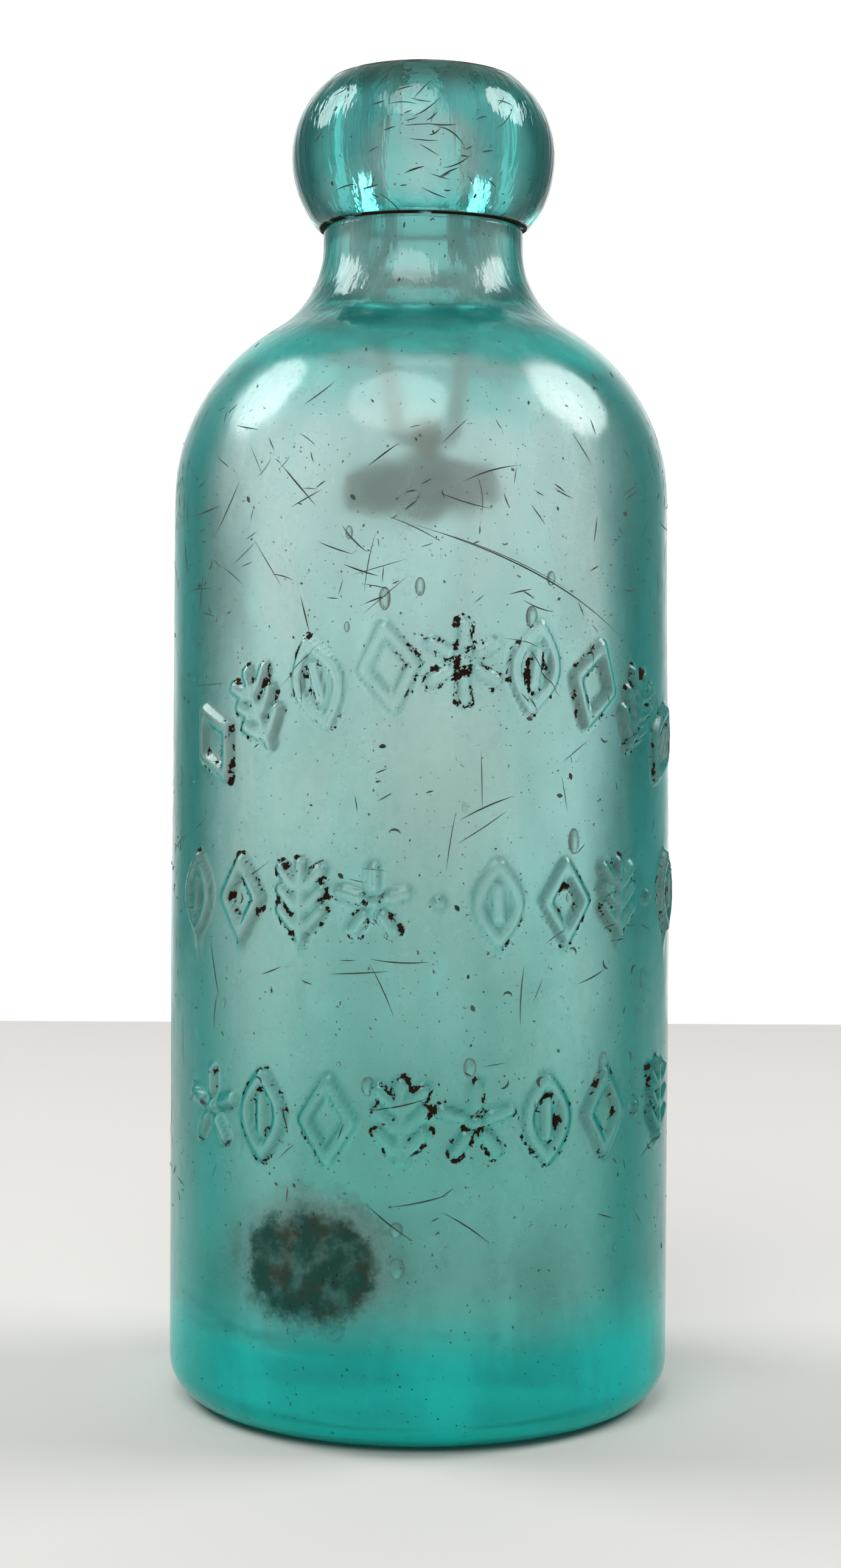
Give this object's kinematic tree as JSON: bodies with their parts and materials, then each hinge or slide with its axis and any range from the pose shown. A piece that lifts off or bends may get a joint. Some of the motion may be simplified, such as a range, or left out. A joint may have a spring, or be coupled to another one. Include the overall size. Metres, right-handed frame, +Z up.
{
  "type": "soda bottle",
  "caption": "Thick aqua glass soda bottle with a rounded blob lip and an internal spring-wire stopper that slides in the neck.",
  "frame": {"origin": "centre of the base, on the plane of its resting ring", "axes": "+Z up along the bottle's axis towards the mouth; -Y is the front, which carries the middle of the moulded ornament; the stopper's wire loop lies in the XZ plane"},
  "size_m": [0.0635, 0.0634, 0.1668],
  "materials": {
    "aqua_glass": "hazy, etched by burial, with fine scratches",
    "spring_wire": "dull tinned wire with light rust",
    "plate_metal": "dull tinned iron",
    "rubber": "aged, dusty",
    "rivet_brass": "tarnished"
  },
  "bodies": {
    "bottle": {"glass_body": "aqua_glass", "blob_finish": "aqua_glass"},
    "stopper": {"stopper_wire": "spring_wire", "upper_plate": "plate_metal", "rubber_gasket": "rubber", "lower_plate": "plate_metal", "stem_rivet": "rivet_brass"}
  },
  "joints": [
    {"name": "stopper_slide", "type": "slide", "parent": "bottle", "child": "stopper", "axis": [0, 0, 1], "range_m": [0, 0.016]}
  ]
}
